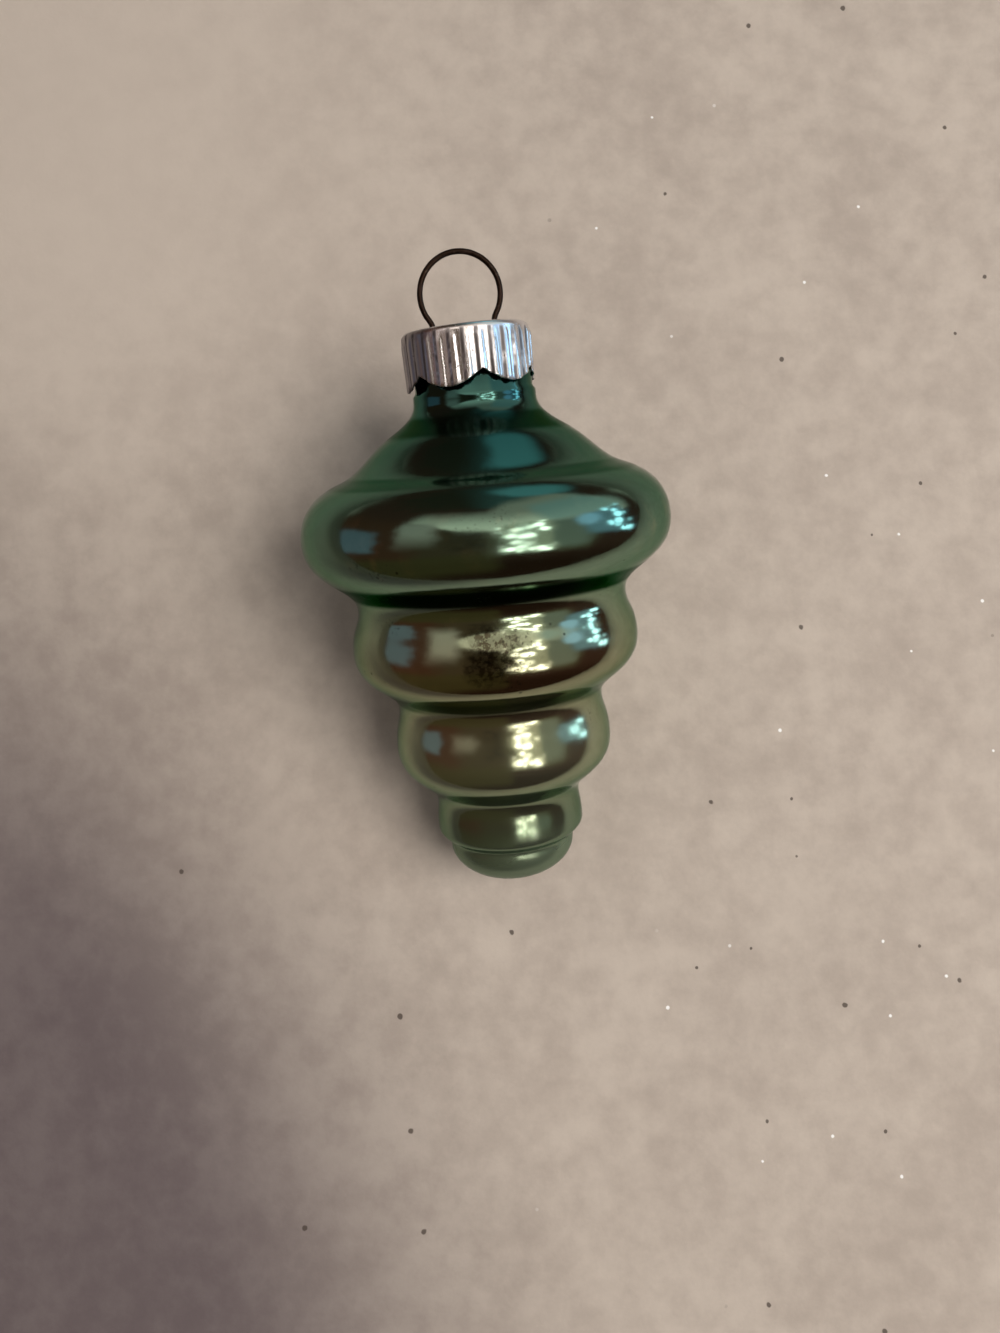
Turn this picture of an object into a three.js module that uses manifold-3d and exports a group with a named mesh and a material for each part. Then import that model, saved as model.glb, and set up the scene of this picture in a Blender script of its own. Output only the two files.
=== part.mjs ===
// A blown mercury glass ornament: a stack of rounded rings in glass, silvered on the inside,
// with a fluted metal cap on its neck and a spring wire hanger through the cap.
// Millimetres. +Z runs up the ornament's axis and +X across the wire loop.
// The origin is the hang point, the inside top of the loop.

import * as THREE from "three";
import { mergeVertices } from "three/addons/utils/BufferGeometryUtils.js";
import Module from "manifold-3d";

const wasm = await Module();
wasm.setup();

const DEGREE = Math.PI / 180;

// Wire hanger
const WIRE_DIAMETER = 0.7;
const LOOP_INSIDE_DIAMETER = 9.1;
const LOOP_END_ANGLE = 24 * DEGREE;     // how far below its widest place the round loop ends
const LOOP_TAPER_HEIGHT = 1.5;          // from the round loop's ends down to the straight legs
const LEG_SPACING = 7.6;
const BEND_ABOVE_CAP = 0.5;             // the straight legs start this far above the cap
const HANGER_TRAVEL = 3;                // how far the hanger slides up through the cap
const LEG_SPLAY_LENGTH = 5;
const LEG_FOOT_LENGTH = 2;
const HOLE_CLEARANCE = 0.3;
const LEG_CLEARANCE = 0.3;              // from the splayed feet to the lining

// Metal cap
const CAP_SHEET = 0.25;
const CAP_HEIGHT = 7;                   // from its top to the tips of its scallops
const CAP_CORNER_RADIUS = 1.2;
const CAP_CLEARANCE = 0.3;
const FLUTES = 30;
const FLUTE_DEPTH = 0.25;
const SCALLOPS = 6;
const SCALLOP_DEPTH = 1.7;
const NOTCH_ANGLE = 12 * DEGREE;        // from the front round to the nearest notch

// Glass, from the neck down to the tip
const GLASS_WALL = 0.6;
const NECK_SEAT_DIAMETER = 14.6;        // under the cap
const NECK_DIAMETER = 15.3;             // below the cap
const NECK_STEP = 0.5;
const NECK_LENGTH = 0.65;
const SHOULDER = { diameter: 24.1, below: 4.5, slope: 36 * DEGREE };
const CREASE = { diameter: 35.9, below: 4.45, slope: 19 * DEGREE };
// each ring's widest place lies this far below the waist above it, and its own waist below that
const FIRST_RING = { diameter: 46.9, below: 7, waistDiameter: 34.7, waistBelow: 9 };
const SECOND_RING = { diameter: 37.2, below: 5.7, waistDiameter: 27, waistBelow: 7.8 };
const THIRD_RING = { diameter: 28.6, below: 5.6, waistDiameter: 19.2, waistBelow: 7.7 };
const FOURTH_RING = { diameter: 19.7, below: 3.8, waistDiameter: 16.6, waistBelow: 2.2 };
const TIP = { diameter: 16.7, below: 0.8, height: 4.9 };

// Silver lining: a film in life, given a body here
const LINING_GAP = 0.3;
const LINING_THICKNESS = 0.3;
const LINING_BELOW_RIM = 1;

// How far each curve keeps its direction, as a share of the height or length that it covers
const CREST_FULLNESS = 0.58;
const WAIST_FULLNESS = 0.39;
const SHOULDER_FULLNESS = 0.33;
const TAPER_FULLNESS = 0.33;
const SPLAY_FULLNESS = 0.5;
const NECK_FILLET = 2.1;

// Facets
const GLASS_SEGMENTS = 40;
const LINING_SEGMENTS = 20;
const CURVE_STEPS = 3;
const CORNER_STEPS = 3;
const FLUTE_FACETS = 2;
const HOLE_SEGMENTS = 16;
const WIRE_STEPS = 64;
const WIRE_SIDES = 8;
const MERGE_DISTANCE = 1e-4;

// Places that follow from the sizes, going down from the hang point
const wireRadius = WIRE_DIAMETER / 2;
const loopRadius = LOOP_INSIDE_DIAMETER / 2 + wireRadius;
const loopCentreZ = -LOOP_INSIDE_DIAMETER / 2;
const loopEndZ = loopCentreZ - loopRadius * Math.sin(LOOP_END_ANGLE);
const legX = LEG_SPACING / 2;
const legTopZ = loopEndZ - LOOP_TAPER_HEIGHT;
const capTopZ = legTopZ - BEND_ABOVE_CAP;
const capUndersideZ = capTopZ - CAP_SHEET;
const capCornerZ = capTopZ - CAP_CORNER_RADIUS;
const capEdgeZ = capTopZ - CAP_HEIGHT;
const capInsideRadius = NECK_SEAT_DIAMETER / 2 + CAP_CLEARANCE;
const rimZ = capUndersideZ - CAP_CLEARANCE;
const neckStepTopZ = capEdgeZ - CAP_CLEARANCE;
const neckStepZ = neckStepTopZ - NECK_STEP;
const neckFootZ = neckStepZ - NECK_LENGTH;
const liningDepth = GLASS_WALL + LINING_GAP;
const boreRadius = NECK_SEAT_DIAMETER / 2 - liningDepth - LINING_THICKNESS;

function toSolid(geometry) {
  const bare = geometry.clone();
  bare.deleteAttribute("normal");
  bare.deleteAttribute("uv");
  const merged = mergeVertices(bare, MERGE_DISTANCE);
  const corners = Array.from(merged.index.array);
  const triangles = [];
  for (let i = 0; i < corners.length; i += 3) {
    const triangle = corners.slice(i, i + 3);
    // a triangle that shrank to a line at a pole is left out
    if (new Set(triangle).size === 3) {
      triangles.push(...triangle);
    }
  }
  const mesh = new wasm.Mesh({
    numProp: 3,
    vertProperties: new Float32Array(merged.attributes.position.array),
    triVerts: new Uint32Array(triangles),
  });
  return new wasm.Manifold(mesh);
}

function toGeometry(solid) {
  const mesh = solid.getMesh();
  const geometry = new THREE.BufferGeometry();
  geometry.setAttribute("position", new THREE.BufferAttribute(mesh.vertProperties, 3));
  geometry.setIndex(new THREE.BufferAttribute(mesh.triVerts, 1));
  geometry.computeVertexNormals();
  return geometry;
}

// A body of revolution about Z from points of (radius, height)
function turned(points, segments) {
  const geometry = new THREE.LatheGeometry(points, segments);
  geometry.rotateX(Math.PI / 2);
  return geometry;
}

// A curve that leaves and arrives at these slopes, leaning in towards the axis as it rises
function bendTo(line, from, fromSlope, fromReach, to, toSlope, toReach) {
  line.bezierCurveTo(
    from.x - Math.cos(fromSlope) * fromReach,
    from.y + Math.sin(fromSlope) * fromReach,
    to.x + Math.cos(toSlope) * toReach,
    to.y - Math.sin(toSlope) * toReach,
    to.x,
    to.y,
  );
}

// A ring's flank: upright at both ends
function flankTo(line, from, to, fromFullness, toFullness) {
  const upright = Math.PI / 2;
  const rise = to.y - from.y;
  bendTo(line, from, upright, rise * fromFullness, to, upright, rise * toFullness);
}

// Up from the first ring's crest over the crease and the shoulder to the foot of the neck
function shoulderTo(line, crest, crease, shoulder, neck) {
  const upright = Math.PI / 2;
  const crestReach = (crease.y - crest.y) * CREST_FULLNESS;
  const lowReach = crest.distanceTo(crease) * SHOULDER_FULLNESS;
  const middleReach = crease.distanceTo(shoulder) * SHOULDER_FULLNESS;
  const highReach = shoulder.distanceTo(neck) * SHOULDER_FULLNESS;
  bendTo(line, crest, upright, crestReach, crease, CREASE.slope, lowReach);
  bendTo(line, crease, CREASE.slope, middleReach, shoulder, SHOULDER.slope, middleReach);
  bendTo(line, shoulder, SHOULDER.slope, highReach, neck, upright, NECK_FILLET);
}

// The outer line of the glass from its tip up to the foot of its neck, as (radius, height)
function bodyLine() {
  let z = neckFootZ;
  const place = (diameter, below) => {
    z -= below;
    return new THREE.Vector2(diameter / 2, z);
  };
  const neck = place(NECK_DIAMETER, 0);
  const shoulder = place(SHOULDER.diameter, SHOULDER.below);
  const crease = place(CREASE.diameter, CREASE.below);
  const crests = [];
  const waists = [];
  for (const ring of [FIRST_RING, SECOND_RING, THIRD_RING, FOURTH_RING]) {
    crests.push(place(ring.diameter, ring.below));
    waists.push(place(ring.waistDiameter, ring.waistBelow));
  }
  const tip = place(TIP.diameter, TIP.below);

  const line = new THREE.Path();
  line.absellipse(0, tip.y, tip.x, TIP.height, -Math.PI / 2, 0);
  crests.push(tip);
  for (let i = waists.length - 1; i >= 0; i -= 1) {
    flankTo(line, crests[i + 1], waists[i], CREST_FULLNESS, WAIST_FULLNESS);
    flankTo(line, waists[i], crests[i], WAIST_FULLNESS, CREST_FULLNESS);
  }
  shoulderTo(line, crests[0], crease, shoulder, neck);
  return line.getPoints(CURVE_STEPS);
}

// The same line moved into the wall by a depth, square to itself
function inset(points, depth) {
  return points.map((point, i) => {
    if (i === 0) {
      return new THREE.Vector2(0, point.y + depth);
    }
    const before = points[i - 1];
    const after = points[Math.min(i + 1, points.length - 1)];
    const along = after.clone().sub(before).normalize();
    return new THREE.Vector2(point.x - along.y * depth, point.y + along.x * depth);
  });
}

// From the tip to a height near the rim, this deep inside the glass's outer face
function wallLine(depth, topZ) {
  const line = inset(bodyLine(), depth);
  line.push(new THREE.Vector2(NECK_DIAMETER / 2 - depth, neckStepZ));
  line.push(new THREE.Vector2(NECK_SEAT_DIAMETER / 2 - depth, neckStepTopZ));
  line.push(new THREE.Vector2(NECK_SEAT_DIAMETER / 2 - depth, topZ));
  return line;
}

// A closed shell between two depths, open at the neck
function shell(outerDepth, innerDepth, topZ, segments) {
  const outer = wallLine(outerDepth, topZ);
  const inner = wallLine(innerDepth, topZ).reverse();
  return turned([...outer, ...inner], segments);
}

function glassBody() {
  return shell(0, GLASS_WALL, rimZ, GLASS_SEGMENTS);
}

function silverLining() {
  const innerDepth = liningDepth + LINING_THICKNESS;
  return shell(liningDepth, innerDepth, rimZ - LINING_BELOW_RIM, LINING_SEGMENTS);
}

// The cap's section: out along the underside, down inside the skirt, up outside and back in
function capSection() {
  const outsideRadius = capInsideRadius + CAP_SHEET;
  const cornerX = outsideRadius - CAP_CORNER_RADIUS;
  const insideCorner = CAP_CORNER_RADIUS - CAP_SHEET;
  const underside = new THREE.Path();
  underside.moveTo(0, capUndersideZ);
  underside.lineTo(cornerX, capUndersideZ);
  underside.absarc(cornerX, capCornerZ, insideCorner, Math.PI / 2, 0, true);
  underside.lineTo(capInsideRadius, capEdgeZ);
  const outside = new THREE.Path();
  outside.moveTo(outsideRadius, capEdgeZ);
  outside.lineTo(outsideRadius, capCornerZ);
  outside.absarc(cornerX, capCornerZ, CAP_CORNER_RADIUS, 0, Math.PI / 2, false);
  outside.lineTo(0, capTopZ);
  return [...underside.getPoints(CORNER_STEPS), ...outside.getPoints(CORNER_STEPS)];
}

// Presses the flutes into the skirt and lifts its lower edge into scallops
function crimp(geometry) {
  const position = geometry.attributes.position;
  for (let i = 0; i < position.count; i += 1) {
    const x = position.getX(i);
    const y = position.getY(i);
    const z = position.getZ(i);
    const angle = Math.atan2(x, -y);
    const radius = Math.hypot(x, y);
    const upSkirt = THREE.MathUtils.clamp((z - capEdgeZ) / (capCornerZ - capEdgeZ), 0, 1);
    const upCorner = THREE.MathUtils.clamp((z - capCornerZ) / CAP_CORNER_RADIUS, 0, 1);
    const flute = FLUTE_DEPTH * ((1 + Math.cos(FLUTES * angle)) / 2) * (1 - upCorner);
    const lobe = Math.abs(Math.sin((SCALLOPS / 2) * (angle - NOTCH_ANGLE)));
    const swell = radius > 0 ? 1 + flute / radius : 1;
    position.setXYZ(i, x * swell, y * swell, z + SCALLOP_DEPTH * (1 - lobe) * (1 - upSkirt));
  }
  return geometry;
}

function metalCap() {
  let cap = toSolid(crimp(turned(capSection(), FLUTES * FLUTE_FACETS)));
  const holeRadius = wireRadius + HOLE_CLEARANCE;
  for (const side of [-1, 1]) {
    const punch = new THREE.CylinderGeometry(holeRadius, holeRadius, 2 * CAP_SHEET, HOLE_SEGMENTS);
    punch.rotateX(Math.PI / 2);
    punch.translate(side * legX, 0, capTopZ - CAP_SHEET / 2);
    cap = cap.subtract(toSolid(punch));
  }
  return toGeometry(cap);
}

// The wire's middle line, one leg's foot to the other's, as (x, z)
function wireLine() {
  const footX = boreRadius - LEG_CLEARANCE - wireRadius;
  const straightEndZ = capUndersideZ - HANGER_TRAVEL - BEND_ABOVE_CAP;
  const splayEndZ = straightEndZ - LEG_SPLAY_LENGTH;
  const footEndZ = splayEndZ - LEG_FOOT_LENGTH;
  const splayFromZ = straightEndZ - LEG_SPLAY_LENGTH * SPLAY_FULLNESS;
  const splayToZ = splayEndZ + LEG_SPLAY_LENGTH * SPLAY_FULLNESS;
  const endX = loopRadius * Math.cos(LOOP_END_ANGLE);
  const bendReach = LOOP_TAPER_HEIGHT * TAPER_FULLNESS;
  const leanX = endX - Math.sin(LOOP_END_ANGLE) * bendReach;
  const leanZ = loopEndZ - Math.cos(LOOP_END_ANGLE) * bendReach;
  const line = new THREE.Path();
  line.moveTo(-footX, footEndZ);
  line.lineTo(-footX, splayEndZ);
  line.bezierCurveTo(-footX, splayToZ, -legX, splayFromZ, -legX, straightEndZ);
  line.lineTo(-legX, legTopZ);
  line.bezierCurveTo(-legX, legTopZ + bendReach, -leanX, leanZ, -endX, loopEndZ);
  line.absarc(0, loopCentreZ, loopRadius, Math.PI + LOOP_END_ANGLE, -LOOP_END_ANGLE, true);
  line.bezierCurveTo(leanX, leanZ, legX, legTopZ + bendReach, legX, legTopZ);
  line.lineTo(legX, straightEndZ);
  line.bezierCurveTo(legX, splayFromZ, footX, splayToZ, footX, splayEndZ);
  line.lineTo(footX, footEndZ);
  return line;
}

// A flat line of (x, z) stood up in space
class UprightCurve extends THREE.Curve {
  constructor(line) {
    super();
    this.line = line;
  }

  getPoint(t) {
    const point = this.line.getPoint(t);
    return new THREE.Vector3(point.x, 0, point.y);
  }
}

function wireHanger() {
  const section = new THREE.Shape();
  section.absarc(0, 0, wireRadius, 0, 2 * Math.PI, false);
  return new THREE.ExtrudeGeometry(section, {
    steps: WIRE_STEPS,
    curveSegments: WIRE_SIDES / 2,
    extrudePath: new UprightCurve(wireLine()),
  });
}

function piece(name, geometry, color, roughness, metalness) {
  const material = new THREE.MeshStandardMaterial({ color, roughness, metalness });
  const mesh = new THREE.Mesh(geometry, material);
  mesh.name = name;
  return mesh;
}

const ornament = new THREE.Group();
ornament.add(piece("glass_body", glassBody(), 0x6b7a5c, 0.12, 0.9));
ornament.add(piece("silver_lining", silverLining(), 0xc4c8c4, 0.2, 1));
ornament.add(piece("metal_cap", metalCap(), 0xc9ccd2, 0.3, 1));
ornament.add(piece("wire_hanger", wireHanger(), 0x2e211c, 0.55, 0.8));

export default ornament;
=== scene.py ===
import math

import bmesh
import bpy
from mathutils import Matrix, Vector
from mathutils.geometry import interpolate_bezier


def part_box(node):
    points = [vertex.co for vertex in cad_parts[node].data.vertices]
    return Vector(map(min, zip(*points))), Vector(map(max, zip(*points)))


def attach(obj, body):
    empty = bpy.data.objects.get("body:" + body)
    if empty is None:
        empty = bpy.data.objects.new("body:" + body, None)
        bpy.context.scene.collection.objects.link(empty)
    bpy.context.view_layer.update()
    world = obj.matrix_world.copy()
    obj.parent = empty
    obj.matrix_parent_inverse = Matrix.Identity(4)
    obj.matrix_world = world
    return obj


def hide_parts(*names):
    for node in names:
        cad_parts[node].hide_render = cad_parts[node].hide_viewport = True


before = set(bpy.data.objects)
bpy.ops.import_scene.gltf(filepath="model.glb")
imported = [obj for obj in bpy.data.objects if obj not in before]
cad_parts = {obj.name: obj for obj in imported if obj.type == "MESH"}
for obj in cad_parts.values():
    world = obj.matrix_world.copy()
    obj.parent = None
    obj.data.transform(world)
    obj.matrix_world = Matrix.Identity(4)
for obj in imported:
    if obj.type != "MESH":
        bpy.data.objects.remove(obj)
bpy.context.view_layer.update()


# The glass body is one bubble of thin glass blown into a mould: a neck, a sloping shoulder, four rounded
# rings and a ball tip. It is silvered on the inside and lacquered green on the outside, and the open neck
# takes the cap.
MM = 0.001
UPRIGHT = math.pi / 2
NECK_SEAT_RADIUS = 7.3 * MM
NECK_RADIUS = 7.65 * MM
NECK_FOOT = -16.993 * MM
NECK_LENGTH = 0.65 * MM
NECK_STEP = 0.5 * MM
GLASS_WALL = 0.6 * MM
SEAT_EDGE = -13.6 * MM
SEAM_WELD = 0.002 * MM
# for each ring in mm: its width and the drop to it, then the width of the waist below and the drop to that
RINGS = ((46.9, 7, 34.7, 9), (37.2, 5.7, 27, 7.8), (28.6, 5.6, 19.2, 7.7), (19.7, 3.8, 16.6, 2.2))


class Wire:
    """One output socket in a tree of nodes. It can be reckoned with like a number."""

    def __init__(self, tree, socket=None):
        self.tree = tree
        self.socket = socket

    def node(self, kind, settings, sockets, output=0):
        """A new node, with its settings set first and its sockets given a value or joined to a wire."""
        made = self.tree.nodes.new(kind)
        for name, setting in settings.items():
            if name == "stops":
                ramp = made.color_ramp
                for place, colour in setting[1:-1]:
                    ramp.elements.new(place).color = (*colour, 1)
                for end, (place, colour) in ((0, setting[0]), (-1, setting[-1])):
                    ramp.elements[end].position = place
                    ramp.elements[end].color = (*colour, 1)
            else:
                setattr(made, name, setting)
        for name, given in sockets.items():
            if isinstance(given, Wire):
                self.tree.links.new(given.socket, made.inputs[name])
            else:
                made.inputs[name].default_value = given
        return Wire(self.tree, made.outputs[output] if made.outputs else None)

    def math(self, operation, *values):
        return self.node("ShaderNodeMath", {"operation": operation}, dict(enumerate(values)))

    def __add__(self, other):
        return self.math("ADD", self, other)

    def __radd__(self, other):
        return self.math("ADD", other, self)

    def __sub__(self, other):
        return self.math("SUBTRACT", self, other)

    def __rsub__(self, other):
        return self.math("SUBTRACT", other, self)

    def __mul__(self, other):
        return self.math("MULTIPLY", self, other)

    def __rmul__(self, other):
        return self.math("MULTIPLY", other, self)

    def __truediv__(self, other):
        return self.math("DIVIDE", self, other)

    def __rtruediv__(self, other):
        return self.math("DIVIDE", other, self)

    def between(self, low, high):
        """0 below low, 1 above high and smooth between them, or the other way round if low is above high."""
        sockets = {"Value": self, "From Min": low, "From Max": high}
        return self.node("ShaderNodeMapRange", {"interpolation_type": "SMOOTHSTEP"}, sockets)

    def noise(self, place, scale, detail=3.0, roughness=0.5):
        sockets = {"Vector": place, "Scale": scale, "Detail": detail, "Roughness": roughness}
        return self.node("ShaderNodeTexNoise", {}, sockets)

    def blend(self, share, first, second):
        """The first colour where share is 0 and the second where it is 1."""
        mix = self.tree.nodes.new("ShaderNodeMix")
        mix.data_type = "RGBA"
        colours = [socket for socket in mix.inputs if socket.type == "RGBA"]
        for socket, given in ((mix.inputs["Factor"], share), (colours[0], first), (colours[1], second)):
            if isinstance(given, Wire):
                self.tree.links.new(given.socket, socket)
            else:
                socket.default_value = (*given, 1) if isinstance(given, tuple) else given
        return Wire(self.tree, next(socket for socket in mix.outputs if socket.type == "RGBA"))


def glass_line(steps):
    """The glass's outer line from the tip to the foot of the neck, as points in the XZ plane."""
    z = NECK_FOOT

    def place(width, drop):
        """A point of the line this far below the last one, where the glass is this wide, in mm."""
        nonlocal z
        z -= drop * MM
        return Vector((width / 2 * MM, 0, z))

    neck = place(15.3, 0)
    shoulder = place(24.1, 4.5)
    crease = place(35.9, 4.45)
    crests, waists = [], []
    for crest_width, crest_drop, waist_width, waist_drop in RINGS:
        crests.append(place(crest_width, crest_drop))
        waists.append(place(waist_width, waist_drop))
    crests.append(place(16.7, 0.8))

    tip, tip_depth = crests[-1], 4.9 * MM
    points = []
    for i in range(steps + 1):
        turn = UPRIGHT * i / steps
        points.append(Vector((tip.x * math.sin(turn), 0, tip.z - tip_depth * math.cos(turn))))

    def bend(start, start_slope, start_reach, end, end_slope, end_reach):
        leaving = Vector((-math.cos(start_slope), 0, math.sin(start_slope))) * start_reach
        arriving = Vector((-math.cos(end_slope), 0, math.sin(end_slope))) * end_reach
        points.extend(interpolate_bezier(start, start + leaving, end - arriving, end, steps + 1)[1:])

    # crests are full and waists are tight, and the shoulder's slopes bend gently into each other
    full, tight, gentle = 0.58, 0.39, 0.33
    for i in reversed(range(len(waists))):
        low, high = waists[i].z - crests[i + 1].z, crests[i].z - waists[i].z
        bend(crests[i + 1], UPRIGHT, low * full, waists[i], UPRIGHT, low * tight)
        bend(waists[i], UPRIGHT, high * tight, crests[i], UPRIGHT, high * full)
    flat, steep = math.radians(19), math.radians(36)
    low_reach = (crease - crests[0]).length * gentle
    middle_reach = (shoulder - crease).length * gentle
    high_reach = (neck - shoulder).length * gentle
    bend(crests[0], UPRIGHT, (crease.z - crests[0].z) * full, crease, flat, low_reach)
    bend(crease, flat, middle_reach, shoulder, steep, middle_reach)
    bend(shoulder, steep, high_reach, neck, UPRIGHT, 2.1 * MM)
    return points


def wall_line(steps, depth, top):
    """The same line this deep in the wall, and on up the neck to a height under the cap."""
    outer = glass_line(steps)
    points = [outer[0] + Vector((0, 0, depth))]
    for before, here, after in zip(outer, outer[1:], [*outer[2:], outer[-1]]):
        along = (after - before).normalized()
        points.append(here + Vector((-along.z, 0, along.x)) * depth)
    step = NECK_FOOT + NECK_LENGTH
    for radius, height in ((NECK_RADIUS, step), (NECK_SEAT_RADIUS, step + NECK_STEP), (NECK_SEAT_RADIUS, top)):
        points.append(Vector((radius - depth, 0, height)))
    return points


def round_end(start, end, steps=6):
    """A half round between two points at the same height, over the top of a wall's end."""
    centre, radius = (start + end) / 2, (start - end).length / 2
    turns = [math.pi * i / steps for i in range(1, steps)]
    return [centre + Vector((math.cos(t), 0, math.sin(t))) * radius for t in turns]


def line_piece(name, points):
    """A piece that starts as a line through points, for a modifier to turn or sweep."""
    mesh = bpy.data.meshes.new(name)
    mesh.from_pydata(points, [(i, i + 1) for i in range(len(points) - 1)], [])
    piece = bpy.data.objects.new(name, mesh)
    bpy.context.scene.collection.objects.link(piece)
    return piece


def new_tree(name, inputs):
    """An empty tree of geometry nodes with these named inputs, and its first wires by name."""
    tree = bpy.data.node_groups.new(name, "GeometryNodeTree")
    tree.is_modifier = True
    tree.interface.new_socket("Geometry", in_out="INPUT", socket_type="NodeSocketGeometry")
    for label, kind, default in inputs:
        socket = tree.interface.new_socket(label, in_out="INPUT", socket_type=kind)
        if default is not None:
            socket.default_value = default
    tree.interface.new_socket("Geometry", in_out="OUTPUT", socket_type="NodeSocketGeometry")
    start = tree.nodes.new("NodeGroupInput")
    return tree, {socket.name: Wire(tree, socket) for socket in start.outputs if socket.name}


def end_tree(tree, geometry, material):
    """Realizes what the tree made, gives it its material and hands it out."""
    real = geometry.node("GeometryNodeRealizeInstances", {}, {"Geometry": geometry})
    coated = real.node("GeometryNodeSetMaterial", {}, {"Geometry": real, "Material": material})
    tree.links.new(coated.socket, tree.nodes.new("NodeGroupOutput").inputs["Geometry"])


def shape(piece, tree, **values):
    """Runs a tree on a piece with these inputs, and keeps the result as a plain mesh that faces outwards.

    Edges that belong to no face, as a cut can leave, are taken out.
    """
    modifier = piece.modifiers.new(tree.name, "NODES")
    modifier.node_group = tree
    for item in tree.interface.items_tree:
        key = item.name.lower().replace(" ", "_")
        if item.in_out == "INPUT" and key in values:
            modifier[item.identifier] = values[key]
    made = bpy.data.meshes.new_from_object(piece.evaluated_get(bpy.context.evaluated_depsgraph_get()))
    piece.modifiers.clear()
    piece.data = made
    mesh = bmesh.new()
    mesh.from_mesh(made)
    bare = [edge for edge in mesh.edges if not edge.link_faces]
    bmesh.ops.delete(mesh, geom=bare, context="EDGES")
    bmesh.ops.recalc_face_normals(mesh, faces=mesh.faces)
    mesh.to_mesh(made)
    mesh.free()
    return piece


def turned_place(wires):
    """For each point of a grid: its angle from the front, and its place on the line that is turned."""
    line = wires["Geometry"]
    rows = line.node("GeometryNodeAttributeDomainSize", {}, {"Geometry": line})
    columns = wires["Segments"] + 1
    grid = line.node("GeometryNodeMeshGrid", {}, {"Vertices X": columns, "Vertices Y": rows})
    index = line.node("GeometryNodeInputIndex", {}, {})
    column = line.math("FLOOR", (index + 0.5) / rows)
    row = index - column * rows
    angle = column * (2 * math.pi) / wires["Segments"]
    position = line.node("GeometryNodeInputPosition", {}, {})
    settings = {"data_type": "FLOAT_VECTOR", "domain": "POINT"}
    place = line.node("GeometryNodeSampleIndex", settings, {"Geometry": line, "Value": position, "Index": row})
    return grid, angle, place


def parts_of(vector):
    return [vector.node("ShaderNodeSeparateXYZ", {}, {"Vector": vector}, output=i) for i in range(3)]


def whole_turn(grid, angle, radius, height):
    """Moves the grid's points round the axis and closes the seam and the poles."""
    target = grid.node("ShaderNodeCombineXYZ", {}, {
        "X": radius * angle.math("SINE", angle), "Y": radius * angle.math("COSINE", angle) * -1.0, "Z": height
    })
    bent = grid.node("GeometryNodeSetPosition", {}, {"Geometry": grid, "Position": target})
    return bent.node("GeometryNodeMergeByDistance", {}, {"Geometry": bent, "Distance": SEAM_WELD})


def turning_tree():
    """Turns a line about the axis, and lets the blown wall wander a little, as it does in a mould."""
    tree, wires = new_tree("turned_wall", [
        ("Segments", "NodeSocketInt", 256), ("Wander", "NodeSocketFloat", 0.0),
        ("Wander scale", "NodeSocketFloat", 90.0), ("Material", "NodeSocketMaterial", None)
    ])
    grid, angle, place = turned_place(wires)
    radius, _, height = parts_of(place)
    solid = whole_turn(grid, angle, radius, height)
    position = solid.node("GeometryNodeInputPosition", {}, {})
    normal = solid.node("GeometryNodeInputNormal", {}, {})
    swell = (solid.noise(position, wires["Wander scale"], detail=1.0) - 0.5) * wires["Wander"] * 2.0
    push = solid.node("ShaderNodeVectorMath", {"operation": "SCALE"}, {"Vector": normal, "Scale": swell})
    loose = solid.node("GeometryNodeSetPosition", {}, {"Geometry": solid, "Offset": push})
    smooth = loose.node("GeometryNodeSetShadeSmooth", {}, {"Geometry": loose})
    end_tree(tree, smooth, wires["Material"])
    return tree


def new_material(name):
    """An empty material, its first wire and the place on the piece in metres."""
    material = bpy.data.materials.new(name)
    material.use_nodes = True
    material.node_tree.nodes.clear()
    start = Wire(material.node_tree)
    return material, start, start.node("ShaderNodeTexCoord", {}, {}, output="Object")


def surface(start, sockets):
    """A Principled surface with these sockets, joined to the material's output."""
    shader = start.node("ShaderNodeBsdfPrincipled", {}, sockets)
    start.node("ShaderNodeOutputMaterial", {}, {"Surface": shader})


# the lacquer's colours from the tip, 0, to the cap, 1
LACQUER = (
    (0.00, (0.155, 0.20, 0.135)), (0.16, (0.20, 0.27, 0.18)), (0.31, (0.38, 0.43, 0.29)),
    (0.50, (0.37, 0.39, 0.255)), (0.66, (0.25, 0.37, 0.27)), (0.80, (0.14, 0.245, 0.19)),
    (0.90, (0.07, 0.15, 0.12)), (1.00, (0.032, 0.11, 0.10))
)
THIN_LACQUER = (0.55, 0.54, 0.38)
CREASE_SHADE_COLOUR = (0.014, 0.021, 0.011)
LACQUER_EDGE = (0.02, 0.03, 0.025)
WORN_LACQUER = (0.050, 0.043, 0.022)
TARNISH = (0.022, 0.020, 0.010)
BARE_SILVER = (0.52, 0.58, 0.52)
# each band of painted shade under a ring or in a crease: its height and reach in mm, and how dark it is
CREASE_SHADE_BANDS = ((-39.1, 1.5, 0.95), (-53.3, 1.3, 0.5), (-20.0, 1.5, 0.72), (-26.0, 0.8, 0.45))
WORN_SPOT = (-0.5 * MM, -18.4 * MM, -45.9 * MM)


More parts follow.
